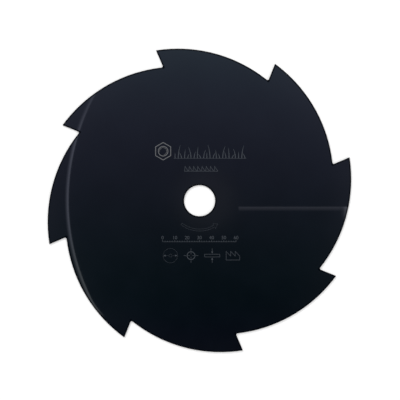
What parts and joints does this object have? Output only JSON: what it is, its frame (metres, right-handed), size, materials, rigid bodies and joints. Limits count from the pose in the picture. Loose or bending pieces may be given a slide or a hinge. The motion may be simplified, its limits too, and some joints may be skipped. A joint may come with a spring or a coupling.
{
  "type": "brush cutter blade",
  "caption": "Flat steel brush cutter disc with leaning saw teeth around its rim and a plain round bore in its middle, coated glossy black.",
  "frame": {"origin": "middle of the bore on the underside, the face that the blade lies on", "axes": "+Z along the axis of the bore, out of the upper, marked face; +X through the tip of one tooth; seen from above the tips point anticlockwise"},
  "size_m": [0.255, 0.255, 0.0014],
  "materials": {
    "black_coat": "gloss"
  },
  "bodies": {
    "root": {"blade": "black_coat"}
  },
  "joints": []
}
